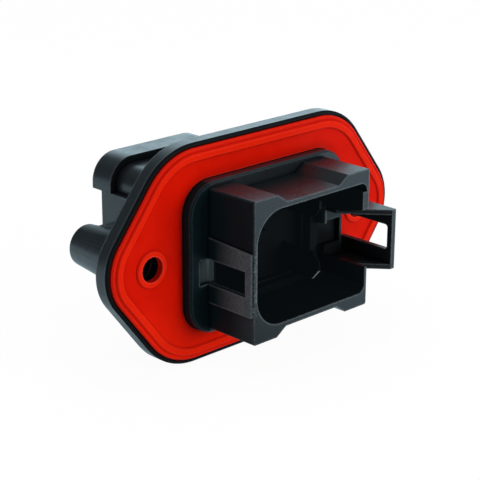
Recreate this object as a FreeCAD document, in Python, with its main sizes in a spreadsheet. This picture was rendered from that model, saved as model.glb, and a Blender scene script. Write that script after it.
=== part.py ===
import FreeCAD, Part
import math
import os
import types

import Sketcher
from FreeCAD import Vector

# Sealed panel connector, male side, with two blind screw bosses behind a red flange gasket.
# X runs along the flange, the mating face looks to -Y, +Z is up. Lengths are millimetres.
# The origin is the middle of the flange's front face, on the line between the two screws.

SIZES = {
    # flange
    "screw_span": 62.0,          # between the two screw axes
    "flange_height": 48.2,       # across the two long straight edges
    "flange_thick": 3.6,
    "flank_angle": 52.3,         # degrees, slope of the four slanted edges
    "tip_radius": 11.3,          # round ends, centred on the screws
    "corner_radius": 16.0,       # the four blunt corners
    "rim_width": 0.7,            # lip that frames the gasket
    "rim_bevel": 0.3,            # flange's outer edges
    "seat_depth": 0.5,           # gasket seat below the rim
    # gasket
    "gasket_gap": 0.3,           # free edge round the gasket in its seat
    "gasket_thick": 1.1,
    "bead_height": 0.42,
    "bead_width": 1.8,
    "bead_margin": 1.0,          # gasket edge to the bead
    "bead_bevel": 0.34,          # upper edges of the gasket, its bead and its eyelets
    "screw_hole": 5.5,           # hole through the gasket
    "eyelet_width": 1.3,         # raised ring round each screw hole
    # shroud that takes the mating plug
    "shroud_width": 34.6,
    "shroud_height": 31.0,
    "shroud_reach": 16.3,        # front edge ahead of the flange's face
    "shroud_drop": 0.6,          # shroud centre below the screw line
    "shroud_round": 0.45,        # shroud's four long corners
    "side_wall": 0.95,
    "channel_floor": 15.5,       # flat width of the channels in top and bottom
    "channel_mouth": 21.0,
    "channel_depth": 1.85,
    "channel_wall": 1.1,         # wall left under the channels
    "cavity_round": 7.0,         # cavity corners on the left
    "cavity_key": 1.9,           # cavity corners on the right
    "cavity_depth": 14.3,
    "key_wall": 0.6,             # wall left beside the key notches on the right
    "guide_wall": 1.8,           # thicker right wall between the doorway and the upper notch
    "guide_top": 9.9,            # above the screw line
    # collar at the foot of the shroud
    "collar_left": 22.5,
    "collar_right": 24.0,
    "collar_lip": 1.2,           # collar above and below the shroud
    "collar_round": 7.0,
    "collar_reach": 3.1,
    "collar_bevel": 0.45,
    # latch band on the left wall
    "band_top": 3.75,            # above the screw line, at the shroud's front edge
    "band_flare": 0.85,          # its top rises by this towards the flange
    "band_bottom": 10.1,         # below the screw line
    "band_raise": 0.4,
    "band_bevel": 0.55,
    "window_top": 0.35,          # below the screw line
    "window_bottom": 5.9,
    "window_inset": 2.2,         # shroud's front edge to the window
    "tunnel_left": 20.0,         # tunnels cut into the collar as far as this
    "tunnel_right": 22.7,
    # latch bridge and doorway on the right
    "bridge_reach": 9.3,         # bridge stands out from the shroud wall
    "bridge_wall": 1.2,
    "bridge_gap": 0.6,           # bridge to the gasket's face
    "bridge_strip": 1.3,         # bridge left ahead of its window
    "bridge_window": 5.7,        # window's height, from the screw line down
    "bridge_round": 0.7,
    "doorway_top": 4.3,          # above the screw line
    "doorway_flare": 1.6,        # higher by this at the front edge
    "doorway_bottom": 7.4,       # below the screw line
    "doorway_rear": 4.2,         # doorway's end ahead of the flange's face
    "doorway_flat": 6.0,         # level part of its top
    "overcut": 0.5,              # cuts run past open sides by this
    # inner well and terminal block
    "well_side": 4.2,            # blade's middle to the well's side wall
    "well_above": 3.8,           # blade's middle to its top and bottom walls
    "well_round": 2.0,
    "well_floor": 4.0,           # behind the flange's face
    "block_wall": 3.0,           # wall that the blades pass through
    # body behind the flange
    "body_width": 33.4,
    "body_height": 28.8,
    "body_round": 6.2,
    "body_end": 32.7,
    "step_in": 1.7,              # the upper part steps in by this
    "step_level": 6.2,           # above the screw line
    "hood_start": 29.6,
    "hood_end": 35.8,
    "bay_side": 3.4,             # wire's middle to the side wall of the bay for grommet and cap
    "bay_above": 3.7,            # wire's middle to its top and bottom walls
    "bay_round": 4.0,
    "bay_floor": 22.0,
    # screw bosses
    "boss_end": 20.9,
    "boss_root": 6.4,            # radius at the flange
    "boss_tip": 4.5,             # radius at the blind end
    "boss_bevel": 0.5,
    "web_half": 4.3,
    "web_end": 18.6,
    "insert_bore": 7.0,          # boss hole that holds the threaded insert
    "insert_set": 5.0,           # insert's mouth behind the flange's face
    "insert_long": 9.0,
    "insert_grip": 4.5,          # length of the grip band
    "grip_height": 0.4,          # grip band above the sleeve
    "thread_core": 4.2,
    "hole_end": 16.0,
    # terminals
    "blade_span": 20.4,          # between the two columns
    "blade_rise": 14.2,          # between the two rows
    "blade_width": 6.3,
    "blade_thick": 0.8,
    "blade_tip": 8.8,            # tip ahead of the flange's face
    "tip_long": 1.8,
    "tip_cut": 2.2,
    "blade_foot": 3.2,           # blade's end inside its shell
    "slot_gap": 0.1,
    "chamber_wide": 4.2,
    "chamber_high": 7.4,
    "shell_wide": 3.6,
    "shell_high": 6.8,
    "shell_wall": 0.4,
    "shell_long": 7.0,
    "crimp_long": 5.5,
    "crimp_radius": 2.0,
    # inner lock, grommet and cap
    "lock_thick": 1.9,
    "piece_gap": 0.2,            # clearance round lock, grommet and cap
    "lock_slot": 1.8,
    "lock_grip_wide": 6.3,
    "lock_grip_high": 1.9,
    "grommet_thick": 5.0,
    "lip_height": 0.35,          # sealing lip round the grommet
    "lip_width": 1.6,
    "lip_start": 1.7,            # grommet's front face to its lip
    "wire_hole": 3.4,
    "cap_wall": 2.4,
    "cap_skirt": 4.6,
    "cap_rim": 1.3,
    "cap_edge": 0.2,             # cap's outer side to its wire collars
    "cap_collar": 0.6,           # wall round each hole
}

doc = FreeCAD.newDocument("connector")
sheet = doc.addObject("Spreadsheet::Sheet", "Sizes")
for row, (alias, number) in enumerate(SIZES.items(), start=1):
    sheet.set(f"A{row}", alias)
    sheet.set(f"B{row}", str(number))
    sheet.setAlias(f"B{row}", alias)
doc.recompute()


class Size:
    """A number together with the sheet expression that gives it."""

    def __init__(self, number, text):
        self.number = number
        self.text = text

    def __add__(self, other):
        other = as_size(other)
        return Size(self.number + other.number, f"({self.text} + {other.text})")

    def __sub__(self, other):
        other = as_size(other)
        return Size(self.number - other.number, f"({self.text} - {other.text})")

    def __mul__(self, other):
        other = as_size(other)
        return Size(self.number * other.number, f"({self.text} * {other.text})")

    def __truediv__(self, other):
        other = as_size(other)
        return Size(self.number / other.number, f"({self.text} / {other.text})")

    def __neg__(self):
        return Size(-self.number, f"(0 - {self.text})")


def as_size(value):
    if isinstance(value, Size):
        return value
    return Size(float(value), f"{float(value):.6f}")


def tangent(angle):
    return Size(math.tan(math.radians(angle.number)), f"tan({angle.text} * 1 deg)")


def sine(angle):
    return Size(math.sin(math.radians(angle.number)), f"sin({angle.text} * 1 deg)")


def bind(target, path, value):
    target.setExpression(path, as_size(value).text)


s = types.SimpleNamespace(**{alias: Size(sheet.get(alias), f"Sizes.{alias}") for alias in SIZES})
ZERO = as_size(0.0)
HEXAGON_RATIO = math.sqrt(0.75)      # half the width across the flats, from the corner radius


class Drawing:
    """A sketch on one of its body's origin planes, every dimension bound to the sheet."""

    def __init__(self, body, name, plane, level):
        self.sketch = body.newObject("Sketcher::SketchObject", name)
        origin = [part for part in body.Origin.OriginFeatures if part.Role == plane][0]
        self.sketch.AttachmentSupport = [(origin, "")]
        self.sketch.MapMode = "FlatFace"
        bind(self.sketch, "AttachmentOffset.Base.z", level)

    def draw(self, shape):
        return self.sketch.addGeometry(shape, False)

    def hold(self, kind, *references):
        self.sketch.addConstraint(Sketcher.Constraint(kind, *references))

    def measure(self, kind, value, *references):
        value = as_size(value)
        index = self.sketch.addConstraint(Sketcher.Constraint(kind, *references, value.number))
        self.sketch.setExpression(f"Constraints[{index}]", value.text)

    def place(self, geometry, point, across, up):
        self.measure("DistanceX", across, -1, 1, geometry, point)
        self.measure("DistanceY", up, -1, 1, geometry, point)

    def circle(self, across, up, radius):
        centre = Vector(across.number, up.number, 0)
        ring = self.draw(Part.Circle(centre, Vector(0, 0, 1), radius.number))
        self.place(ring, 3, across, up)
        self.measure("Radius", radius, ring)

    def polygon(self, corners):
        points = [Vector(across.number, up.number, 0) for across, up in corners]
        sides = []
        for start, end in zip(points, points[1:] + points[:1]):
            sides.append(self.draw(Part.LineSegment(start, end)))
        for side, following in zip(sides, sides[1:] + sides[:1]):
            self.hold("Coincident", side, 2, following, 1)
        for side, (across, up) in zip(sides, corners):
            self.place(side, 1, across, up)

    def rectangle(self, left, right, bottom, top):
        self.polygon([(left, bottom), (right, bottom), (right, top), (left, top)])

    def hexagon(self, radius):
        """Regular hexagon about the body's own axis, from its corner radius."""
        half = radius / 2
        rise = radius * HEXAGON_RATIO
        self.polygon([(radius, ZERO), (half, rise), (-half, rise),
                      (-radius, ZERO), (-half, -rise), (half, -rise)])

    def rounded(self, left, right, bottom, top, left_round, right_round):
        """Rectangle with one corner radius on its left and another on its right."""
        low, high = bottom.number, top.number
        near, far = left.number, right.number
        a, b = left_round.number, right_round.number
        quarter = math.pi / 2
        up = Vector(0, 0, 1)

        def line(x0, z0, x1, z1):
            return self.draw(Part.LineSegment(Vector(x0, z0, 0), Vector(x1, z1, 0)))

        def arc(x, z, radius, turn):
            circle = Part.Circle(Vector(x, z, 0), up, radius)
            return self.draw(Part.ArcOfCircle(circle, turn * quarter, (turn + 1) * quarter))

        floor = line(near + a, low, far - b, low)
        arc_low_right = arc(far - b, low + b, b, 3)
        wall_right = line(far, low + b, far, high - b)
        arc_high_right = arc(far - b, high - b, b, 0)
        roof = line(far - b, high, near + a, high)
        arc_high_left = arc(near + a, high - a, a, 1)
        wall_left = line(near, high - a, near, low + a)
        arc_low_left = arc(near + a, low + a, a, 2)
        ring = [floor, arc_low_right, wall_right, arc_high_right,
                roof, arc_high_left, wall_left, arc_low_left]
        for piece, following in zip(ring, ring[1:] + ring[:1]):
            self.hold("Tangent", piece, 2, following, 1)
        self.hold("Horizontal", floor)
        self.hold("Horizontal", roof)
        self.hold("Vertical", wall_left)
        self.hold("Vertical", wall_right)
        for corner in (arc_low_left, arc_high_left):
            self.measure("Radius", left_round, corner)
        for corner in (arc_low_right, arc_high_right):
            self.measure("Radius", right_round, corner)
        self.measure("DistanceX", left, -1, 1, wall_left, 1)
        self.measure("DistanceX", right, -1, 1, wall_right, 1)
        self.measure("DistanceY", bottom, -1, 1, floor, 1)
        self.measure("DistanceY", top, -1, 1, roof, 1)

    def flange_outline(self, inset):
        """The flange's long hexagon with round tips and corners, drawn inside its edge."""
        inset = as_size(inset)
        tip = s.tip_radius - inset
        corner = s.corner_radius - inset
        half_height = s.flange_height / 2 - inset
        screw = s.screw_span / 2
        vertex = screw + s.tip_radius / sine(s.flank_angle)
        shoulder = vertex - s.flange_height / 2 / tangent(s.flank_angle)
        centre_across = shoulder - s.corner_radius * tangent(s.flank_angle / 2)
        centre_up = s.flange_height / 2 - s.corner_radius
        flank = math.radians(s.flank_angle.number)
        straight = math.pi / 2
        up = Vector(0, 0, 1)

        def arc(x, z, radius, start, end):
            return self.draw(Part.ArcOfCircle(Part.Circle(Vector(x, z, 0), up, radius), start, end))

        def end_of(x, z, radius, angle):
            return Vector(x + radius * math.cos(angle), z + radius * math.sin(angle), 0)

        cx, cz = centre_across.number, centre_up.number
        slope = straight - flank
        right_tip = (screw.number, 0.0, tip.number, -slope, slope)
        top_right = (cx, cz, corner.number, slope, straight)
        top_left = (-cx, cz, corner.number, straight, math.pi - slope)
        left_tip = (-screw.number, 0.0, tip.number, math.pi - slope, math.pi + slope)
        low_left = (-cx, -cz, corner.number, math.pi + slope, math.pi + straight)
        low_right = (cx, -cz, corner.number, math.pi + straight, 2 * math.pi - slope)
        bends = [right_tip, top_right, top_left, left_tip, low_left, low_right]
        ring = []
        for bend, following in zip(bends, bends[1:] + bends[:1]):
            ring.append(arc(*bend))
            start = end_of(bend[0], bend[1], bend[2], bend[4])
            end = end_of(following[0], following[1], following[2], following[3])
            ring.append(self.draw(Part.LineSegment(start, end)))
        for piece, following in zip(ring, ring[1:] + ring[:1]):
            self.hold("Tangent", piece, 2, following, 1)
        arcs = ring[0::2]
        sides = ring[1::2]
        self.hold("Horizontal", sides[1])
        self.hold("Horizontal", sides[4])
        self.measure("DistanceY", half_height, -1, 1, sides[1], 1)
        self.measure("DistanceY", -half_height, -1, 1, sides[4], 1)
        for index, side in ((0, 1), (3, -1)):
            self.hold("PointOnObject", arcs[index], 3, -1)
            self.measure("DistanceX", screw * side, -1, 1, arcs[index], 3)
            self.measure("Radius", tip, arcs[index])
        for index, side in ((1, 1), (2, -1), (4, -1), (5, 1)):
            self.measure("DistanceX", centre_across * side, -1, 1, arcs[index], 3)
            self.measure("Radius", corner, arcs[index])


def new_body(label):
    body = doc.addObject("PartDesign::Body", label)
    body.Label = label
    return body


def front_drawing(body, name, front):
    """A sketch seen from the mating side, at a depth behind the flange's face."""
    return Drawing(body, name, "XZ_Plane", -as_size(front))


def pad(body, name, drawing, front, rear):
    feature = body.newObject("PartDesign::Pad", name)
    feature.Profile = drawing.sketch
    feature.Reversed = True
    bind(feature, "Length", as_size(rear) - front)
    return feature


def cut(body, name, drawing, front, rear):
    feature = body.newObject("PartDesign::Pocket", name)
    feature.Profile = drawing.sketch
    bind(feature, "Length", as_size(rear) - front)
    return feature


def side_drawing(body, name, across):
    """A sketch seen from the right-hand side, at a distance from the connector's middle."""
    return Drawing(body, name, "YZ_Plane", across)


def near(value, level):
    return abs(value - as_size(level).number) < 0.01


def bevel(body, name, size, chosen):
    """Chamfer the edges whose ends are all at places that are chosen."""
    doc.recompute()
    base = body.Tip
    edges = []
    for number, edge in enumerate(base.Shape.Edges, start=1):
        ends = [corner.Point for corner in edge.Vertexes]
        if ends and all(chosen(point) for point in ends):
            edges.append(f"Edge{number}")
    feature = body.newObject("PartDesign::Chamfer", name)
    feature.Base = (base, edges)
    bind(feature, "Size", size)
    return feature


def mirror(body, name, features):
    """Repeat features on the other side of the connector's middle."""
    feature = body.newObject("PartDesign::Mirrored", name)
    feature.Originals = features
    middle = [part for part in body.Origin.OriginFeatures if part.Role == "YZ_Plane"][0]
    feature.MirrorPlane = (middle, [""])
    body.Tip = feature
    return feature


# Levels that several pieces share
centre = -s.shroud_drop
half_shroud = s.shroud_width / 2
half_span = s.screw_span / 2
front_edge = -s.shroud_reach
collar_face = -s.collar_reach
gasket_face = s.seat_depth - s.gasket_thick
wall_inside = half_shroud - s.side_wall
cavity_half = s.shroud_height / 2 - s.channel_depth - s.channel_wall
shoulder = front_edge + s.cavity_depth
well_width = s.blade_span + s.well_side * 2
well_height = s.blade_rise + s.well_above * 2
bay_width = s.blade_span + s.bay_side * 2
bay_height = s.blade_rise + s.bay_above * 2
blade_places = [(side_x, side_z) for side_z in (1, -1) for side_x in (-1, 1)]


def centred(drawing, width, height, radius, grow=0.0):
    """Rounded rectangle about the shroud's axis."""
    drawing.rounded(-(width / 2) - grow, width / 2 + grow, centre - height / 2 - grow,
                    centre + height / 2 + grow, radius, radius)


def draw_box(drawing, across, up, half_wide, half_high):
    drawing.rectangle(across - half_wide, across + half_wide, up - half_high, up + half_high)


def blade_centre(side, level):
    return s.blade_span / 2 * side, centre + s.blade_rise / 2 * level


def add_flange(body):
    plate = front_drawing(body, "flange_sketch", ZERO)
    plate.flange_outline(ZERO)
    pad(body, "flange", plate, ZERO, s.flange_thick)
    bevel(body, "flange_edges", s.rim_bevel, lambda point: True)
    seat = front_drawing(body, "seat_sketch", ZERO)
    seat.flange_outline(s.rim_width)
    cut(body, "gasket_seat", seat, ZERO, s.seat_depth)


def draw_collar(drawing, grow):
    """Outline of the collar at the shroud's foot, longer towards the bridge."""
    half_height = s.shroud_height / 2 + s.collar_lip + grow
    drawing.rounded(-s.collar_left - grow, s.collar_right + grow, centre - half_height,
                    centre + half_height, s.collar_round + grow, s.collar_round + grow)


def add_shroud(body):
    collar = front_drawing(body, "collar_sketch", collar_face)
    draw_collar(collar, ZERO)
    pad(body, "collar", collar, collar_face, s.flange_thick)
    bevel(body, "collar_edge", s.collar_bevel, lambda point: near(point.y, collar_face))
    shroud = front_drawing(body, "shroud_sketch", front_edge)
    centred(shroud, s.shroud_width, s.shroud_height, s.shroud_round)
    pad(body, "shroud", shroud, front_edge, s.flange_thick)
    for name, side in (("top_channel", 1), ("bottom_channel", -1)):
        edge = centre + s.shroud_height / 2 * side
        floor = edge - s.channel_depth * side
        groove = front_drawing(body, f"{name}_sketch", front_edge)
        groove.polygon([(-(s.channel_mouth / 2), edge), (-(s.channel_floor / 2), floor),
                        (s.channel_floor / 2, floor), (s.channel_mouth / 2, edge)])
        cut(body, name, groove, front_edge, collar_face)


def add_latch_side(body):
    """Raised band on the left wall, its top edge rising towards the flange."""
    outside = -half_shroud - s.band_raise
    band = side_drawing(body, "band_sketch", outside)
    band.polygon([(front_edge, -s.band_bottom), (ZERO, -s.band_bottom),
                  (ZERO, s.band_top + s.band_flare), (front_edge, s.band_top)])
    raised = body.newObject("PartDesign::Pad", "latch_band")
    raised.Profile = band.sketch
    bind(raised, "Length", s.band_raise + s.side_wall)
    bevel(body, "band_nose", s.band_bevel,
           lambda point: near(point.x, outside) and near(point.y, front_edge))


def add_bridge(body):
    """Latch bridge on the right: two ribs out from the shroud and a plate with an open window."""
    root = half_shroud - s.key_wall
    outside = half_shroud + s.bridge_reach
    inside = outside - s.bridge_wall
    rear = gasket_face - s.bridge_gap
    for name, level in (("upper_rib", s.band_top - s.bridge_wall), ("lower_rib", -s.band_bottom)):
        rib = Drawing(body, f"{name}_sketch", "XY_Plane", level)
        rib.polygon([(root, rear), (root, front_edge + s.bridge_reach + s.key_wall),
                     (inside, front_edge), (outside, front_edge), (outside, rear)])
        feature = body.newObject("PartDesign::Pad", name)
        feature.Profile = rib.sketch
        bind(feature, "Length", s.bridge_wall)
    plate = front_drawing(body, "bridge_sketch", front_edge)
    plate.rectangle(inside, outside, -s.band_bottom, s.band_top)
    pad(body, "bridge_plate", plate, front_edge, rear)
    window = side_drawing(body, "bridge_window_sketch", outside)
    window.rounded(front_edge + s.bridge_strip, ZERO, -s.bridge_window, ZERO, s.bridge_round, s.bridge_round)
    opening = body.newObject("PartDesign::Pocket", "bridge_window")
    opening.Profile = window.sketch
    bind(opening, "Length", s.bridge_wall)


def add_rear_body(body):
    """Rear tube: its upper part steps in behind the flange and ends in a longer hood."""
    inside_flange = s.flange_thick / 2
    side = s.body_width / 2 + s.step_in
    above = centre + s.body_height
    outline = front_drawing(body, "body_sketch", inside_flange)
    centred(outline, s.body_width, s.body_height, s.body_round)
    pad(body, "rear_body", outline, inside_flange, s.hood_end)
    under_hood = front_drawing(body, "under_hood_sketch", s.body_end)
    under_hood.rectangle(-side, side, centre - s.body_height, s.step_level)
    cut(body, "under_hood", under_hood, s.body_end, s.hood_end + s.step_in)
    step = front_drawing(body, "step_sketch", s.flange_thick)
    step.rectangle(-side, side, s.step_level, above)
    cut(body, "step", step, s.flange_thick, s.hood_start)
    core = front_drawing(body, "core_sketch", inside_flange)
    centred(core, s.body_width, s.body_height, s.body_round - s.step_in, -s.step_in)
    pad(body, "stepped_core", core, inside_flange, s.hood_start + s.step_in)


def add_bosses(body):
    """Blind screw bosses, each tied to the rear tube by a web, drawn once and mirrored."""
    inside_flange = s.flange_thick / 2
    length = s.boss_end - inside_flange
    post_sketch = front_drawing(body, "boss_sketch", inside_flange)
    post_sketch.circle(half_span, ZERO, s.boss_root)
    post = pad(body, "boss", post_sketch, inside_flange, s.boss_end)
    slope = f"atan(({s.boss_tip.text} - {s.boss_root.text}) / {length.text})"
    post.setExpression("TaperAngle", slope)
    web_sketch = front_drawing(body, "web_sketch", inside_flange)
    web_sketch.rectangle(s.body_width / 2 - s.step_in, half_span, -s.web_half, s.web_half)
    web = pad(body, "boss_web", web_sketch, inside_flange, s.web_end)
    bore_sketch = front_drawing(body, "insert_bore_sketch", ZERO)
    bore_sketch.circle(half_span, ZERO, s.insert_bore / 2)
    bore = cut(body, "insert_bore", bore_sketch, ZERO, s.insert_set + s.insert_long)
    tail_sketch = front_drawing(body, "screw_tail_sketch", s.insert_set)
    tail_sketch.circle(half_span, ZERO, s.thread_core / 2 + s.piece_gap)
    tail = cut(body, "screw_tail", tail_sketch, s.insert_set, s.hole_end)
    mirror(body, "other_boss", [post, web, bore, tail])
    bevel(body, "boss_tips", s.boss_bevel,
           lambda point: near(point.y, s.boss_end) and abs(point.x) > s.body_width.number / 2)


def cut_front(body):
    """Cavity for the mating plug, with a guide on its right wall under the upper key notch."""
    cavity = front_drawing(body, "cavity_sketch", front_edge)
    cavity.rounded(-wall_inside, half_shroud - s.key_wall, centre - cavity_half,
                   centre + cavity_half, s.cavity_round, s.cavity_key)
    cut(body, "cavity", cavity, front_edge, shoulder)
    guide = front_drawing(body, "guide_sketch", front_edge)
    guide.rectangle(half_shroud - s.guide_wall, half_shroud, ZERO, s.guide_top)
    pad(body, "guide", guide, front_edge, shoulder)
    well = front_drawing(body, "well_sketch", shoulder)
    centred(well, well_width, well_height, s.well_round)
    cut(body, "well", well, shoulder, s.well_floor)
    rear = -s.doorway_rear
    sill = -s.doorway_bottom
    doorway = side_drawing(body, "doorway_sketch", half_shroud)
    doorway.polygon([(front_edge, sill), (rear, sill), (rear, s.doorway_top),
                     (rear - s.doorway_flat, s.doorway_top), (front_edge, s.doorway_top + s.doorway_flare)])
    opening = body.newObject("PartDesign::Pocket", "doorway")
    opening.Profile = doorway.sketch
    bind(opening, "Length", s.guide_wall + s.overcut)
    window = front_drawing(body, "window_sketch", front_edge + s.window_inset)
    window.rectangle(-s.tunnel_left, s.overcut - wall_inside, -s.window_bottom, -s.window_top)
    cut(body, "latch_window", window, front_edge + s.window_inset, shoulder)
    tunnel = front_drawing(body, "tunnel_sketch", rear)
    tunnel.rectangle(half_shroud - s.guide_wall - s.overcut, s.tunnel_right, -s.window_bottom, -s.window_top)
    cut(body, "latch_tunnel", tunnel, rear, shoulder)


def cut_rear(body):
    bay = front_drawing(body, "bay_sketch", s.bay_floor)
    centred(bay, bay_width, bay_height, s.bay_round)
    cut(body, "rear_bay", bay, s.bay_floor, s.hood_end + s.overcut)
    slots = front_drawing(body, "slots_sketch", s.well_floor)
    chambers = front_drawing(body, "chambers_sketch", s.well_floor + s.block_wall)
    for side, level in blade_places:
        across, up = blade_centre(side, level)
        draw_box(slots, across, up, s.blade_thick / 2 + s.slot_gap, s.blade_width / 2 + s.slot_gap)
        draw_box(chambers, across, up, s.chamber_wide / 2, s.chamber_high / 2)
    cut(body, "blade_slots", slots, s.well_floor, s.well_floor + s.block_wall)
    cut(body, "terminal_chambers", chambers, s.well_floor + s.block_wall, s.bay_floor)


def build_housing():
    body = new_body("housing")
    add_flange(body)
    add_shroud(body)
    add_latch_side(body)
    add_bridge(body)
    add_rear_body(body)
    add_bosses(body)
    cut_front(body)
    cut_rear(body)


def build_gasket():
    """Flat silicone gasket with a raised bead round its edge and an eyelet at each screw."""
    body = new_body("flange_gasket")
    edge = s.rim_width + s.gasket_gap
    sheet_sketch = front_drawing(body, "gasket_sketch", gasket_face)
    sheet_sketch.flange_outline(edge)
    pad(body, "gasket_sheet", sheet_sketch, gasket_face, s.seat_depth)
    bevel(body, "gasket_edge", s.bead_bevel, lambda point: near(point.y, gasket_face))
    crest = gasket_face - s.bead_height
    bead = front_drawing(body, "bead_sketch", crest)
    bead.flange_outline(edge + s.bead_margin)
    bead.flange_outline(edge + s.bead_margin + s.bead_width)
    pad(body, "bead", bead, crest, gasket_face)
    bevel(body, "bead_edges", s.bead_bevel, lambda point: near(point.y, crest))
    eyelets = front_drawing(body, "eyelet_sketch", crest)
    holes = front_drawing(body, "screw_hole_sketch", crest)
    for side in (1, -1):
        eyelets.circle(half_span * side, ZERO, s.screw_hole / 2 + s.eyelet_width)
        holes.circle(half_span * side, ZERO, s.screw_hole / 2)
    pad(body, "eyelets", eyelets, crest, gasket_face)
    bevel(body, "eyelet_edges", s.bead_bevel,
           lambda point: near(point.y, crest) and near(point.z, ZERO))
    cut(body, "screw_holes", holes, crest, s.seat_depth)
    opening = front_drawing(body, "collar_hole_sketch", gasket_face)
    draw_collar(opening, s.slot_gap)
    cut(body, "collar_hole", opening, gasket_face, s.seat_depth)


def build_insert(label, side):
    """Brass insert: a threaded sleeve with a grip band at its mouth."""
    body = new_body(label)
    mouth = s.insert_set
    foot = s.insert_set + s.insert_long
    sleeve = front_drawing(body, "sleeve_sketch", mouth)
    sleeve.circle(ZERO, ZERO, s.insert_bore / 2 - s.grip_height)
    sleeve.circle(ZERO, ZERO, s.thread_core / 2)
    pad(body, "sleeve", sleeve, mouth, foot)
    grip = front_drawing(body, "grip_sketch", mouth)
    grip.circle(ZERO, ZERO, s.insert_bore / 2)
    grip.circle(ZERO, ZERO, s.thread_core / 2)
    pad(body, "grip", grip, mouth, mouth + s.insert_grip)
    bind(body, "Placement.Base.x", half_span * side)


def build_terminal(label, side, level):
    """Male blade with a folded shell and a six-sided crimp barrel behind it."""
    body = new_body(label)
    half_blade = s.blade_width / 2
    shell_front = s.well_floor + s.block_wall + s.slot_gap
    shell_rear = shell_front + s.shell_long
    tip = -s.blade_tip
    foot = shell_front + s.blade_foot
    flat = side_drawing(body, "blade_sketch", -(s.blade_thick / 2))
    flat.polygon([(tip, s.tip_cut - half_blade), (tip + s.tip_long, -half_blade),
                  (foot, -half_blade), (foot, half_blade),
                  (tip + s.tip_long, half_blade), (tip, half_blade - s.tip_cut)])
    blade = body.newObject("PartDesign::Pad", "blade")
    blade.Profile = flat.sketch
    bind(blade, "Length", s.blade_thick)
    shell = front_drawing(body, "shell_sketch", shell_front)
    draw_box(shell, ZERO, ZERO, s.shell_wide / 2, s.shell_high / 2)
    draw_box(shell, ZERO, ZERO, s.shell_wide / 2 - s.shell_wall, s.shell_high / 2 - s.shell_wall)
    pad(body, "shell", shell, shell_front, shell_rear)
    barrel = front_drawing(body, "barrel_sketch", shell_rear - s.shell_wall)
    barrel.hexagon(s.crimp_radius)
    barrel.hexagon(s.crimp_radius - s.shell_wall / HEXAGON_RATIO)
    pad(body, "barrel", barrel, shell_rear - s.shell_wall, shell_rear + s.crimp_long)
    seam = front_drawing(body, "seam_sketch", shell_rear)
    seam.rectangle(-s.shell_wall, s.shell_wall, ZERO, s.crimp_radius + s.shell_wall)
    cut(body, "seam", seam, shell_rear, shell_rear + s.crimp_long)
    across, up = blade_centre(side, level)
    bind(body, "Placement.Base.x", across)
    bind(body, "Placement.Base.z", up)


def build_lock():
    """Secondary lock: a plate on the well's floor that the four blades pass through."""
    body = new_body("terminal_lock")
    front = s.well_floor - s.lock_thick
    plate = front_drawing(body, "lock_sketch", front)
    centred(plate, well_width, well_height, s.well_round - s.piece_gap, -s.piece_gap)
    pad(body, "lock_plate", plate, front, s.well_floor)
    grip = front_drawing(body, "grip_sketch", front - s.lock_thick)
    draw_box(grip, ZERO, centre, s.lock_grip_wide / 2, s.lock_grip_high / 2)
    pad(body, "lock_grip", grip, front - s.lock_thick, front)
    slots = front_drawing(body, "lock_slots_sketch", front)
    for side, level in blade_places:
        across, up = blade_centre(side, level)
        draw_box(slots, across, up, s.lock_slot / 2, s.blade_width / 2 + s.piece_gap)
    cut(body, "lock_slots", slots, front, s.well_floor)


def build_grommet():
    """Silicone mat with a sealing lip, which closes round the four wires."""
    body = new_body("wire_grommet")
    front = s.bay_floor
    rear = front + s.grommet_thick
    mat = front_drawing(body, "mat_sketch", front)
    inset = -s.piece_gap - s.lip_height
    centred(mat, bay_width, bay_height, s.bay_round + inset, inset)
    pad(body, "mat", mat, front, rear)
    start = front + s.lip_start
    lip = front_drawing(body, "lip_sketch", start)
    centred(lip, bay_width, bay_height, s.bay_round - s.piece_gap, -s.piece_gap)
    pad(body, "lip", lip, start, start + s.lip_width)
    holes = front_drawing(body, "wire_hole_sketch", front)
    for side, level in blade_places:
        holes.circle(*blade_centre(side, level), s.wire_hole / 2)
    cut(body, "wire_holes", holes, front, rear)


def build_cap():
    """Cap that holds the grommet in the rear bay, with a collar at each wire."""
    body = new_body("grommet_cap")
    front = s.bay_floor + s.grommet_thick
    middle = front + s.cap_wall
    rear = front + s.cap_skirt
    plate = front_drawing(body, "cap_sketch", front)
    centred(plate, bay_width, bay_height, s.bay_round - s.piece_gap, -s.piece_gap)
    pad(body, "cap_plate", plate, front, middle)
    skirt = front_drawing(body, "skirt_sketch", middle)
    inner = -s.piece_gap - s.cap_rim
    centred(skirt, bay_width, bay_height, s.bay_round - s.piece_gap, -s.piece_gap)
    centred(skirt, bay_width, bay_height, s.bay_round + inner, inner)
    pad(body, "cap_skirt", skirt, middle, rear)
    collars = front_drawing(body, "collars_sketch", middle)
    holes = front_drawing(body, "cap_hole_sketch", front)
    collar_radius = s.bay_side - s.piece_gap - s.cap_edge
    for side, level in blade_places:
        collars.circle(*blade_centre(side, level), collar_radius)
        holes.circle(*blade_centre(side, level), collar_radius - s.cap_collar)
    pad(body, "cap_collars", collars, middle, rear)
    cut(body, "cap_holes", holes, front, rear)


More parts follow.
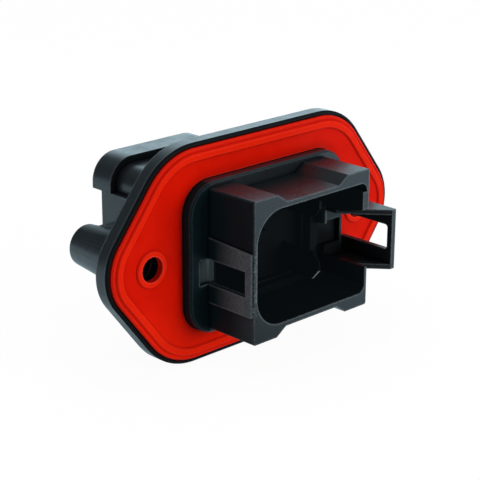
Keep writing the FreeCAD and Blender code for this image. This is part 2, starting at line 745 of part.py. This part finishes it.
def check_and_export():
    """Every feature must have worked and changed its body, then each body becomes a file."""
    for item in doc.Objects:
        if "Invalid" in item.State or "Error" in item.State:
            raise RuntimeError(f"{item.Name} did not build: {item.State}")
    os.makedirs("parts", exist_ok=True)
    for body in doc.Objects:
        if body.TypeId != "PartDesign::Body":
            continue
        before = 0.0
        for feature in body.Group:
            if not feature.isDerivedFrom("PartDesign::Feature"):
                continue
            volume = feature.Shape.Volume
            if abs(volume - before) < 0.01:
                raise RuntimeError(f"{feature.Name} of {body.Label} changed nothing")
            before = volume
        shape = body.Shape
        if shape.isNull() or not shape.isValid() or len(shape.Solids) != 1:
            raise RuntimeError(f"{body.Label} is not one valid solid")
        shape.exportStep(f"parts/{body.Label}.step")
        print(f"{body.Label}: {shape.Volume / 1000:.3f} cubic centimetres")


build_housing()
build_gasket()
build_insert("screw_insert_left", -1)
build_insert("screw_insert_right", 1)
for number, place in enumerate(blade_places, start=1):
    build_terminal(f"blade_terminal_{number}", *place)
build_lock()
build_grommet()
build_cap()
doc.recompute()
check_and_export()
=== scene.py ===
# A sealed flange-mount connector receptacle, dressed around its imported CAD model.
# Lengths are in metres, in the frame of the CAD model. Places and sizes in the materials are in millimetres.
import math

import bpy
from mathutils import Matrix, Vector


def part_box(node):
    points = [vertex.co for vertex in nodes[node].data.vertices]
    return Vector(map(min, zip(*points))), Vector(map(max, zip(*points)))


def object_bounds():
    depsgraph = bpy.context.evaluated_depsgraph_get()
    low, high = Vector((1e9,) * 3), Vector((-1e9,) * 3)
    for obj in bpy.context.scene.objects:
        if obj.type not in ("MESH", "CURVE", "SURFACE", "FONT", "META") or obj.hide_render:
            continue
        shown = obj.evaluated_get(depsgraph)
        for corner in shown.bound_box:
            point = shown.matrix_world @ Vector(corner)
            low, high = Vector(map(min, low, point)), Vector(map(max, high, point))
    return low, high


MM = 0.001
X, Y, Z = range(3)
UPWARDS = (0.0, 0.0, 1.0)
FORWARDS = (0.0, -1.0, 0.0)
WHITE = (1.0, 1.0, 1.0)

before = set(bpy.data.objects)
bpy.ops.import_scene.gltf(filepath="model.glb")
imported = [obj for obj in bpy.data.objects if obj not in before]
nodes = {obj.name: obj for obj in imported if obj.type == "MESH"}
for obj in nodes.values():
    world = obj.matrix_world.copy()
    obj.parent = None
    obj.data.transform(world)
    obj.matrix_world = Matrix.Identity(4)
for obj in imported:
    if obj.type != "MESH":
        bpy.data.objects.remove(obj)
cad_low, cad_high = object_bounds()

# Camera, fitted to the photograph's straight edges. Angles are in degrees.
CAMERA_PLACE = Vector((-215.945, -216.646, 104.956)) * MM
CAMERA_AZIMUTH = 44.177
CAMERA_ELEVATION = 19.1464
CAMERA_ROLL = 0.1844
CAMERA_LENS = 112.01
CAMERA_SENSOR = 36.0

# Studio: white for the camera, bright and cool in reflections, dark towards the camera's side
FLOOR_HALF = 3.0
FLOOR_COLOUR = (0.86, 0.87, 0.88)
FLOOR_GLOW = 1.04                    # brightness that the camera sees
FLOOR_SHARE_LIT = 0.08               # share of it that comes from the lamps
REFLECTED_TINT = (0.70, 0.94, 1.05)
REFLECTED_FLOOR = 1.5
REFLECTED_UNDER_SHADOW = 0.9                # floor close to the part, dimmer there as a painted shadow of the part
REFLECTED_WALLS = 0.4
REFLECTED_BACK = 2.35                # bright patch behind the part
REFLECTED_DARK = 0.04
UNDER_END = 0.04
FLOOR_START = 0.10
FLOOR_FADE = (0.25, 0.8)             # turn towards the camera's side over which the floor grows dark
WALLS_FADE = (-0.3, 0.55)            # the same for the walls
BACK_DIRECTION = (0.657, 0.68, 0.326)
BACK_FADE = (0.82, 0.97)             # from the bright patch's rim to its core
DIFFUSE_LEVEL = 0.26

# Tones of the housing, as linear colours
PLASTIC = (0.015, 0.019, 0.023)
PLASTIC_WORN = (0.021, 0.026, 0.031)
# painted shade on the left side, which the key light doesn't reach
PLASTIC_SHADED = (0.0065, 0.016, 0.020)
# painted light on the front end of the left wall, below the band
PLASTIC_LOW_FRONT_LIGHT = (0.05, 0.062, 0.068)
# painted reflection on the latch band, broken by specks like scuffs
PLASTIC_SCUFFS_AND_SHEEN = (0.11, 0.145, 0.16)
# painted highlights along edges, broken into dashes
PLASTIC_EDGE_HIGHLIGHT = (0.16, 0.19, 0.21)
# painted shade in creases
PLASTIC_CREASE_SHADE = (0.001, 0.0015, 0.002)
# painted shade in the seat's gap, the right tunnel, the shoulder, the sill, under the bridge and on the right
# collar
RECESS_SHADE = (0.008, 0.010, 0.011)
# painted light on the end wall of the latch tunnel, as if lit through the window
TUNNEL_END_LIGHT = (0.030, 0.042, 0.043)
# painted shade inside the shroud's cavity
CAVITY_SHADE = (0.0022, 0.003, 0.0035)
# glow painted in as lens haze over the dark cavity
PAINTED_HAZE_GLOW = (0.0019, 0.0031, 0.0037)

# Tones of the silicone's painted highlights and painted light from below, and of the blade tip's painted glint
SILICONE_CREST_HIGHLIGHT = (1.0, 0.021, 0.002)
SILICONE_GLEAM = (1.0, 0.075, 0.05)
SILICONE_LOW = (1.0, 0.014, 0.001)   # where the floor lights it from below
GLINT = (0.30, 0.33, 0.33)

# How far each zone's tone and dullness go, from 0 to 1
EDGE_HIGHLIGHT_SHARE = 0.7
CREASE_SHADE_SHARE = 0.75
LOW_FRONT_LIGHT_SHARE = 0.7
UNDER_BRIDGE_SHADE_SHARE = 0.5
RIGHT_COLLAR_SHADE_SHARE = 0.5
FRONT_EDGE_HIGHLIGHT_SHARE = 0.3
SHELL_SHINE = 0.3
DULLNESS = {"left_side": 0.85, "cavity": 1.0, "creases": 0.8, "shaded_places": 0.85, "front_tops": 0.55, "boss": 0.9,
            "right_collar": 0.4}

# Texture of the moulded plastic, in millimetres
GRAIN = 0.22
GRAIN_DEPTH = 0.012
FLOW_MARKS = 6.0
RUBS = 1.6
SPECKS = 0.5

# Planes of the housing, in millimetres
FRONT = round(cad_low[Y] / MM, 3)    # shroud's front edge
SHROUD_SIDE = 17.3
SHROUD_WALL = 16.35                  # inner faces of its sides
BAND_FACE = 17.7                     # latch band on its left side
BAND_TOP = 3.75
BAND_BOTTOM = -10.1
WINDOW_TOP = -0.35                   # latch window, and the tunnels behind it
WINDOW_BOTTOM = -5.9
TUNNEL_LEFT = -20.0
TUNNEL_RIGHT = 22.7
DOORWAY_BOTTOM = -7.4
COLLAR_FACE = -3.1
COLLAR_RIGHT = 24.0
SHOULDER = -2.0                      # end of the shroud's cavity
SEAT = 0.5                           # gasket's seat in the flange
FLANGE_REAR = 3.6
BOSS_END = 20.9
BAY_FLOOR = 22.0                     # rear end of the terminals' block
BEYOND = 60.0                        # past the part on every side
GASKET_FRONT = round(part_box("flange_gasket")[0].y / MM, 3)

# Places on the housing whose tone or shine is set apart, most of them for painted shade, light or highlights: a
# box's two corners and its soft edge, in millimetres
PLACES = {
    "left_side": ((-BEYOND, FRONT + 0.15, -BEYOND), (-SHROUD_SIDE + 0.15, -0.2, BEYOND), 0.1),
    "cavity": ((-SHROUD_WALL + 0.05, FRONT + 0.4, -14.0), (SHROUD_WALL + 0.3, BAY_FLOOR, 13.0), 0.1),
    "latch_band": ((-BAND_FACE - 0.5, FRONT + 0.1, BAND_BOTTOM),
                   (-BAND_FACE + 0.2, COLLAR_FACE - 0.1, BAND_TOP + 0.95), 0.05),
    "band_front": ((-BAND_FACE - 0.3, FRONT - 0.3, BAND_BOTTOM + 0.1),
                   (-SHROUD_WALL - 0.15, FRONT + 0.55, BAND_TOP - 0.05), 0.15),
    "mouth_lip": ((-SHROUD_WALL - 0.25, FRONT - 0.1, -6.9), (-SHROUD_WALL + 0.15, FRONT + 0.3, 5.7), 0.08),
    "tunnel_end": ((TUNNEL_LEFT - 0.3, SHOULDER - 0.1, WINDOW_BOTTOM - 0.1),
                   (-15.0, SHOULDER + 0.1, WINDOW_TOP + 0.05), 0.03),
    "seat_edge": ((-BEYOND, -0.1, -BEYOND), (BEYOND, SEAT - 0.04, BEYOND), 0.08),
    "front_edge": ((-BEYOND, SEAT + 0.05, -BEYOND), (BEYOND, SEAT + 0.35, BEYOND), 0.1),
    "rear_edge": ((-BEYOND, FLANGE_REAR - 0.45, -BEYOND), (BEYOND, FLANGE_REAR + 0.1, BEYOND), 0.1),
    "front_tops": ((-20.0, FRONT - 0.7, -20.0), (30.0, COLLAR_FACE - 0.1, 20.0), 0.1),
    "boss": ((-45.0, FLANGE_REAR + 0.4, -8.0), (-24.0, BOSS_END + 1.1, 8.0), 1.0),
    "shoulder": ((14.0, SHOULDER - 0.1, -14.0), (SHROUD_SIDE + 0.2, SHOULDER + 0.1, 9.0), 0.05),
    "right_tunnel": ((13.5, COLLAR_FACE - 1.2, -13.0), (TUNNEL_RIGHT + 0.2, SHOULDER + 1.0, WINDOW_TOP), 0.05),
    "right_collar": ((SHROUD_SIDE + 0.1, COLLAR_FACE - 0.1, WINDOW_TOP + 0.05),
                     (COLLAR_RIGHT + 0.2, COLLAR_FACE + 0.1, 5.0), 0.05),
    "sill": ((15.0, FRONT + 0.2, DOORWAY_BOTTOM - 0.3), (SHROUD_SIDE + 0.4, -4.0, DOORWAY_BOTTOM + 0.2), 0.05),
    "under_bridge": ((SHROUD_SIDE + 0.2, FRONT + 0.2, -8.95), (25.5, SHOULDER, -0.2), 0.05),
}
BAND_SHEEN = (-5.0, -12.5)            # along the band, from where its painted reflection begins to where it is full
LOW_FRONT_ALONG = (-9.0, -16.0)      # painted light, paler towards the front end of the left wall below the band
LOW_FRONT_DOWN = (BAND_BOTTOM + 0.3, BAND_BOTTOM - 0.5)
HAZE_END = (BAY_FLOOR + 0.5, BAY_FLOOR)
GASKET_CREST = (GASKET_FRONT + 0.07, GASKET_FRONT + 0.27)    # top of its bead and eyelets
GASKET_LOW = (-6.0, -16.0)           # where the floor's light begins and is full


def tinted(level):
    """A reflected brightness in the studio's cool tint."""
    return tuple(level * part for part in REFLECTED_TINT)


def darker(colour, share):
    return tuple(part * share for part in colour)


class Nodes:
    """A node tree, with short ways to add and join nodes."""

    def __init__(self, tree):
        self.tree = tree

    def add(self, kind, **inputs):
        node = self.tree.nodes.new(kind)
        for name, value in inputs.items():
            node.inputs[name.replace("_", " ")].default_value = value
        return node

    def join(self, output, target):
        self.tree.links.new(output, target)

    def calculate(self, operation, *values):
        """A sum or the like of numbers and outputs."""
        node = self.add("ShaderNodeMath")
        node.operation = operation
        for socket, value in zip(node.inputs, values):
            if isinstance(value, (int, float)):
                socket.default_value = value
            else:
                self.join(value, socket)
        return node.outputs[0]

    def chain(self, operation, values):
        result, *others = values
        for value in others:
            result = self.calculate(operation, result, value)
        return result

    def sum(self, *values):
        return self.chain("ADD", values)

    def product(self, *values):
        return self.chain("MULTIPLY", values)

    def most(self, *values):
        return self.chain("MAXIMUM", values)

    def vector(self, operation, value, direction=None):
        """The length or direction of an output, or its share along a direction."""
        node = self.add("ShaderNodeVectorMath")
        node.operation = operation
        self.join(value, node.inputs[0])
        if direction is not None:
            node.inputs[1].default_value = Vector(direction).normalized()
        return node.outputs["Vector" if operation == "NORMALIZE" else "Value"]

    def spread(self, value, low, high, to_low=0.0, to_high=1.0, interpolation="LINEAR"):
        """The value's part between low and high, spread over another range."""
        node = self.add("ShaderNodeMapRange", From_Min=low, From_Max=high, To_Min=to_low, To_Max=to_high)
        node.interpolation_type = interpolation
        self.join(value, node.inputs["Value"])
        return node.outputs["Result"]

    def blend(self, share, first, second):
        """Colours first and second, mixed by share. Each is a colour or an output."""
        node = self.add("ShaderNodeMix")
        node.data_type = "RGBA"
        self.join(share, node.inputs[0])
        for socket, colour in ((node.inputs[6], first), (node.inputs[7], second)):
            if isinstance(colour, tuple):
                socket.default_value = (*colour, 1.0)
            else:
                self.join(colour, socket)
        return node.outputs[2]


class Surface(Nodes):
    """A material's node tree, with what its textures, zones and relief need."""

    def __init__(self, name):
        self.material = bpy.data.materials.new(name)
        self.material.use_nodes = True
        super().__init__(self.material.node_tree)
        self.shader = self.tree.nodes["Principled BSDF"]
        self.output = self.tree.nodes["Material Output"]
        self.place = self.add("ShaderNodeTexCoord").outputs["Object"]
        self.geometry = self.add("ShaderNodeNewGeometry").outputs
        world_place = self.add("ShaderNodeSeparateXYZ")
        self.join(self.geometry["Position"], world_place.inputs[0])
        self.coordinates = world_place.outputs

    def set(self, name, value):
        """Gives the shader's input a number, a colour or an output."""
        socket = self.shader.inputs[name]
        if isinstance(value, tuple):
            socket.default_value = (*value, 1.0)
        elif isinstance(value, (int, float)):
            socket.default_value = value
        else:
            self.join(value, socket)

    def noise(self, size, detail=3.0, roughness=0.55, stretch=None):
        """Noise whose features are about this large."""
        node = self.add("ShaderNodeTexNoise", Scale=1.0 / (size * MM), Detail=detail, Roughness=roughness)
        place = self.place
        if stretch:
            scale = self.add("ShaderNodeMapping", Scale=stretch)
            self.join(place, scale.inputs["Vector"])
            place = scale.outputs["Vector"]
        self.join(place, node.inputs["Vector"])
        return node.outputs["Fac"]

    def ramp(self, axis, start, end):
        """Rises from 0 to 1 along one axis, between two places."""
        return self.spread(self.coordinates[axis], start * MM, end * MM)

    def zone(self, low, high, soft):
        """1 inside the box between two corners, fading to 0 just outside."""
        parts = []
        for coordinate, start, end in zip(self.coordinates, low, high):
            away = self.calculate("ABSOLUTE", self.sum(coordinate, -(start + end) / 2 * MM))
            half = (end - start) / 2
            parts.append(self.spread(away, half * MM, (half + soft) * MM, 1.0, 0.0))
        return self.product(*parts)

    def facing(self, direction, start, end):
        """Rises from 0 to 1 as the flat face turns towards a direction."""
        return self.spread(self.vector("DOT_PRODUCT", self.geometry["True Normal"], direction), start, end)

    def creases(self, reach, low, high, outer=False):
        """Rises to 1 in creases within this reach, or at outer edges where outer is set."""
        node = self.add("ShaderNodeAmbientOcclusion", Distance=reach * MM)
        node.samples = 6
        node.inside = outer
        return self.spread(node.outputs["AO"], low, high, 1.0, 0.0)

    def paint_haze(self, share):
        """Painted glow that stands in for the faint veil a lens lays over a deep dark hollow."""
        self.set("Emission Strength", share)
        self.set("Emission Color", PAINTED_HAZE_GLOW)

    def relief(self, height, depth, rounding=None):
        """Bump of this depth, over normals rounded at edges by this radius."""
        bump = self.add("ShaderNodeBump", Strength=1.0, Distance=depth * MM)
        self.join(height, bump.inputs["Height"])
        if rounding:
            bevel = self.add("ShaderNodeBevel", Radius=rounding * MM)
            bevel.samples = 6
            self.join(bevel.outputs["Normal"], bump.inputs["Normal"])
        self.set("Normal", bump.outputs["Normal"])


class MouldedPlastic(Surface):
    """Glass-filled moulded plastic: fine grain, soft flow marks and rubbed patches."""

    def __init__(self, name, sheen_low, sheen_high, rounding):
        super().__init__(name)
        grain = self.noise(GRAIN, detail=2.0)
        flow = self.noise(FLOW_MARKS, detail=4.0, roughness=0.6)
        rub = self.noise(RUBS, detail=5.0, roughness=0.7)
        self.mottle = self.sum(self.spread(flow, 0.35, 0.7, 0.0, 0.6), self.spread(rub, 0.55, 0.75, 0.0, 0.4))
        self.set("Roughness", self.sum(self.spread(flow, 0.3, 0.7, sheen_low, sheen_high),
                                       self.spread(rub, 0.4, 0.8, -0.04, 0.06)))
        self.relief(self.sum(grain, self.product(rub, 0.5)), GRAIN_DEPTH, rounding)
        self.set("IOR", 1.5)


def plain_plastic(name, deep, edge_highlights, sheen_low, sheen_high, shine):
    plastic = MouldedPlastic(name, sheen_low, sheen_high, rounding=0.18)
    plastic.set("Base Color", plastic.blend(plastic.mottle, deep, edge_highlights))
    plastic.set("Specular IOR Level", shine)
    return plastic


def housing_shell():
    """The housing's plastic: matt left side in painted shade, painted shade in its cavity, creases and recesses,
    painted reflection on the scuffed latch band, painted light on the tunnel's end and the left wall's low front,
    painted highlights along edges, and a painted haze glow in the cavity.
    """
    g = MouldedPlastic("housing_plastic", 0.28, 0.4, rounding=0.14)
    speck = g.noise(SPECKS, detail=4.0, roughness=0.7)
    place = {name: g.zone(*box) for name, box in PLACES.items()}
    creases = g.creases(0.9, 0.35, 0.95)

    # Faces and stretches that a box alone doesn't pick out
    # Painted reflection on the latch band, growing towards its front
    band = g.product(place["latch_band"], g.ramp(Y, *BAND_SHEEN))
    # Painted light on the low front of the left wall
    low_front_light = g.product(place["left_side"], g.ramp(Y, *LOW_FRONT_ALONG), g.ramp(Z, *LOW_FRONT_DOWN))
    front_tops = g.product(place["front_tops"], g.facing(UPWARDS, 0.8, 0.95))
    boss = g.product(place["boss"], g.facing(UPWARDS, 0.4, 0.85))
    rear_edge = g.product(place["rear_edge"], g.facing(FORWARDS, -0.9, -0.8))
    # Painted shade in recesses and places the light doesn't reach
    shaded_places = g.most(place["seat_edge"], place["right_tunnel"], place["shoulder"], place["sill"],
                 g.product(place["under_bridge"], UNDER_BRIDGE_SHADE_SHARE))

    # Tones, from the plain plastic to the places that differ: painted shade on the left side, in the cavity and in
    # shaded places, painted light on the low front and the tunnel's end, and painted reflection on the band
    colour = g.blend(g.mottle, PLASTIC, PLASTIC_WORN)
    colour = g.blend(place["left_side"], colour, PLASTIC_SHADED)
    colour = g.blend(g.product(low_front_light, LOW_FRONT_LIGHT_SHARE), colour, PLASTIC_LOW_FRONT_LIGHT)
    colour = g.blend(place["cavity"], colour, CAVITY_SHADE)
    colour = g.blend(g.most(shaded_places, g.product(place["right_collar"], RIGHT_COLLAR_SHADE_SHARE)), colour, RECESS_SHADE)
    colour = g.blend(g.product(band, g.spread(speck, 0.3, 0.6, 0.55, 1.0)), colour, PLASTIC_SCUFFS_AND_SHEEN)
    colour = g.blend(place["tunnel_end"], colour, TUNNEL_END_LIGHT)

    # Painted highlights along edges in broken lines and on the band's front edge, and painted shade in creases
    broken = g.spread(speck, 0.35, 0.6, 0.25, 1.0)
    open_share = g.spread(g.most(place["cavity"], shaded_places), 0.0, 1.0, 1.0, 0.0)
    edges = g.product(g.creases(0.45, 0.6, 0.93, outer=True), broken, open_share)
    band_front_highlight = g.product(place["band_front"], g.spread(speck, 0.5, 0.62, 0.1, 1.0))
    lines = g.product(g.most(rear_edge, place["mouth_lip"]), broken)
    edge_highlights = g.most(edges, band_front_highlight, lines, g.product(place["front_edge"], FRONT_EDGE_HIGHLIGHT_SHARE))
    colour = g.blend(g.product(edge_highlights, EDGE_HIGHLIGHT_SHARE), colour, PLASTIC_EDGE_HIGHLIGHT)
    colour = g.blend(g.product(creases, CREASE_SHADE_SHARE), colour, PLASTIC_CREASE_SHADE)
    g.set("Base Color", colour)

    dull = {**place, "creases": creases, "shaded_places": shaded_places, "front_tops": front_tops, "boss": boss}
    matt = g.most(*(g.product(dull[name], share) for name, share in DULLNESS.items()))
    g.set("Specular IOR Level", g.spread(matt, 0.0, 1.0, SHELL_SHINE, 0.0))
    g.paint_haze(place["cavity"])
    return g.material


def silicone(name, body, deep, sheen):
    """Moulded silicone rubber: even red, faint mottle and a satin skin, with painted highlights on raised edges,
    painted light low down and painted shade in hollows and creases.
    """
    g = Surface(name)
    mottle = g.noise(4.0)
    dust = g.noise(SPECKS, detail=4.0, roughness=0.75)
    colour = g.blend(g.sum(g.spread(mottle, 0.35, 0.7, 0.0, 0.7), g.spread(dust, 0.6, 0.8, 0.0, 0.3)), body, deep)
    colour = g.blend(g.ramp(Z, *GASKET_LOW), colour, SILICONE_LOW)
    # Painted highlights on the bead's crest and raised edges, brightest along their rims
    crest = g.calculate("SUBTRACT", 1.0, g.ramp(Y, *GASKET_CREST))
    raised_highlight = g.most(g.creases(0.7, 0.55, 0.97, outer=True), crest)
    colour = g.blend(g.product(raised_highlight, 0.65), colour, SILICONE_CREST_HIGHLIGHT)
    gleam = g.creases(0.32, 0.6, 0.95, outer=True)
    colour = g.blend(g.product(gleam, 0.8), colour, SILICONE_GLEAM)
    # Painted shade in the hollows beside the bead and in the creases at its foot
    hollow_shade = g.creases(2.6, 0.45, 1.0)
    colour = g.blend(g.product(hollow_shade, 0.55), colour, darker(deep, 0.4))
    creases = g.creases(0.8, 0.4, 0.95)
    colour = g.blend(g.product(creases, 0.55), colour, darker(deep, 0.35))
    g.set("Base Color", colour)
    g.set("Roughness", g.spread(mottle, 0.3, 0.7, sheen - 0.05, sheen + 0.08))
    g.relief(dust, 0.008, rounding=0.12)
    g.set("IOR", 1.42)
    g.set("Specular IOR Level", 0.06)
    return g.material


class PlatedMetal(Surface):
    """Stamped and plated strip: drawn lines along its length and dull patches."""

    def __init__(self, name, bright, dull, sheen):
        super().__init__(name)
        drawn = self.noise(0.2, stretch=(1.0, 0.08, 1.0))
        patch = self.noise(1.5, detail=4.0)
        self.tone = self.blend(self.spread(patch, 0.35, 0.7), bright, dull)
        self.set("Base Color", self.tone)
        self.set("Metallic", 1.0)
        self.set("Roughness", self.spread(drawn, 0.3, 0.7, sheen - 0.08, sheen + 0.12))
        self.relief(drawn, 0.005)


def blade_plating(lit_blade):
    """Plating painted dark as the cavity's shade, with a painted glint under the tip of the blade that the light
    reaches, and a painted haze glow.
    """
    g = PlatedMetal("terminal_plating", (0.006, 0.006, 0.006), (0.004, 0.004, 0.004), 0.4)
    low, high = (Vector(corner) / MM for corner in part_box(lit_blade))
    tip_low = (low.x - 0.5, low.y - 0.7, low.z - 0.9)
    tip_high = (high.x + 0.5, low.y + 2.8, high.z - 1.7)
    glint = g.product(g.zone(tip_low, tip_high, 0.1), g.facing((0.0, -0.774, -0.633), 0.9, 0.95))
    g.set("Base Color", g.blend(glint, g.tone, GLINT))
    g.set("Metallic", g.spread(glint, 0.0, 1.0, 1.0, 0.0))
    g.paint_haze(g.ramp(Y, *HAZE_END))
    return g.material


def lock_plastic():
    # Painted shade: the lock plate is darkened to the cavity's shade, and given the painted haze glow
    lock = plain_plastic("lock_plastic", (0.003, 0.0035, 0.004), (0.005, 0.0055, 0.006), 0.5, 0.6, shine=0.03)
    lock.paint_haze(lock.ramp(Y, *HAZE_END))
    return lock.material


def cap_plastic():
    return plain_plastic("cap_plastic", (0.009, 0.010, 0.011), (0.016, 0.018, 0.019), 0.4, 0.55, shine=0.3).material


def dress(material, *names):
    for name in names:
        for slot in nodes[name].material_slots:
            slot.material = material


def dress_all():
    dress(housing_shell(), "housing")
    dress(silicone("gasket_silicone", (0.80, 0.009, 0.0006), (0.74, 0.006, 0.0004), 0.46), "flange_gasket")
    dress(silicone("grommet_silicone", (0.66, 0.010, 0.002), (0.56, 0.006, 0.001), 0.5), "wire_grommet")
    brass = PlatedMetal("insert_brass", (0.30, 0.20, 0.08), (0.20, 0.13, 0.05), 0.35).material
    dress(brass, "screw_insert_left", "screw_insert_right")
    dress(blade_plating("blade_terminal_4"), *(f"blade_terminal_{n}" for n in (1, 2, 3, 4)))
    dress(lock_plastic(), "terminal_lock")
    dress(cap_plastic(), "grommet_cap")


def floor_material():
    """White to the camera; in reflections bright around the part but dimmer close under it as a painted shadow, and
    dark on the camera's side.
    """
    g = Surface("studio_floor")
    g.set("Base Color", FLOOR_COLOUR)
    g.set("Roughness", 0.9)
    g.set("Specular IOR Level", 0.0)
    rays = g.add("ShaderNodeLightPath").outputs
    glow = g.add("ShaderNodeEmission", Color=(*WHITE, 1.0), Strength=FLOOR_GLOW)
    seen = g.add("ShaderNodeMixShader")
    g.join(g.product(rays["Is Camera Ray"], 1.0 - FLOOR_SHARE_LIT), seen.inputs["Fac"])
    g.join(g.shader.outputs[0], seen.inputs[1])
    g.join(glow.outputs[0], seen.inputs[2])

    camera_side = (CAMERA_PLACE.x, CAMERA_PLACE.y, 0.0)
    fade = g.spread(g.vector("DOT_PRODUCT", g.vector("NORMALIZE", g.place), camera_side), *FLOOR_FADE)
    reach = g.spread(g.vector("LENGTH", g.place), UNDER_END, FLOOR_START)
    lit = g.blend(reach, tinted(REFLECTED_UNDER_SHADOW), tinted(REFLECTED_FLOOR))
    sheen = g.add("ShaderNodeEmission")
    g.join(g.blend(fade, lit, tinted(REFLECTED_DARK)), sheen.inputs["Color"])
    mirrored = g.add("ShaderNodeMixShader")
    g.join(rays["Is Glossy Ray"], mirrored.inputs["Fac"])
    g.join(seen.outputs[0], mirrored.inputs[1])
    g.join(sheen.outputs[0], mirrored.inputs[2])
    g.join(mirrored.outputs[0], g.output.inputs["Surface"])
    return g.material


def add_floor():
    corners = [(x * FLOOR_HALF, y * FLOOR_HALF, cad_low[Z]) for x, y in ((-1, -1), (1, -1), (1, 1), (-1, 1))]
    mesh = bpy.data.meshes.new("studio_floor")
    mesh.from_pydata(corners, [], [(0, 1, 2, 3)])
    mesh.materials.append(floor_material())
    floor = bpy.data.objects.new("studio_floor", mesh)
    bpy.context.scene.collection.objects.link(floor)


def add_world():
    """White to the camera; in reflections bright walls that fade to dark on the camera's side."""
    world = bpy.data.worlds.new("studio")
    bpy.context.scene.world = world
    world.use_nodes = True
    g = Nodes(world.node_tree)
    looked_at = g.add("ShaderNodeTexCoord").outputs["Generated"]

    def near(direction, start, end):
        """Rises from 0 to 1 as the looked-at direction turns towards this one."""
        turn = g.vector("DOT_PRODUCT", looked_at, direction)
        return g.spread(turn, start, end, interpolation="SMOOTHSTEP")

    walls = g.blend(near(BACK_DIRECTION, *BACK_FADE), tinted(REFLECTED_WALLS), tinted(REFLECTED_BACK))
    mirrored = g.blend(near(CAMERA_PLACE, *WALLS_FADE), walls, tinted(REFLECTED_DARK))
    rays = g.add("ShaderNodeLightPath").outputs
    unseen = g.blend(rays["Is Glossy Ray"], (DIFFUSE_LEVEL, DIFFUSE_LEVEL, DIFFUSE_LEVEL), mirrored)
    clear = g.most(rays["Is Camera Ray"], rays["Is Transmission Ray"])
    g.join(g.blend(clear, unseen, WHITE), g.tree.nodes["Background"].inputs["Color"])


def add_softbox(name, place, width, height, power):
    """A lamp that faces the part and isn't mirrored in it."""
    lamp = bpy.data.lights.new(name, "AREA")
    lamp.shape = "RECTANGLE"
    lamp.size = width
    lamp.size_y = height
    lamp.energy = power
    body = bpy.data.objects.new(name, lamp)
    bpy.context.scene.collection.objects.link(body)
    body.location = place
    body.rotation_euler = (-Vector(place)).to_track_quat("-Z", "Y").to_euler()
    body.visible_glossy = False


def add_camera():
    azimuth, elevation, roll = (math.radians(a) for a in (CAMERA_AZIMUTH, CAMERA_ELEVATION, CAMERA_ROLL))
    back = Vector((-math.sin(azimuth) * math.cos(elevation),
                   -math.cos(azimuth) * math.cos(elevation),
                   math.sin(elevation)))
    level_right = Vector((math.cos(azimuth), -math.sin(azimuth), 0.0))
    level_up = back.cross(level_right)
    right = level_right * math.cos(roll) + level_up * math.sin(roll)
    up = back.cross(right)
    lens = bpy.data.cameras.new("photo_camera")
    lens.lens = CAMERA_LENS
    lens.sensor_width = CAMERA_SENSOR
    lens.clip_start = 0.01
    lens.clip_end = 10.0
    camera = bpy.data.objects.new("photo_camera", lens)
    turn = Matrix((right, up, back)).transposed().to_4x4()
    camera.matrix_world = Matrix.Translation(CAMERA_PLACE) @ turn
    bpy.context.scene.collection.objects.link(camera)
    bpy.context.scene.camera = camera


dress_all()
add_floor()
add_world()
add_camera()
add_softbox("key", place=(0.40, -0.87, 0.12), width=0.6, height=0.5, power=6.2)
add_softbox("top", place=(0.05, 0.1, 0.75), width=0.9, height=0.7, power=2.0)

bpy.context.scene.view_settings.view_transform = "Standard"
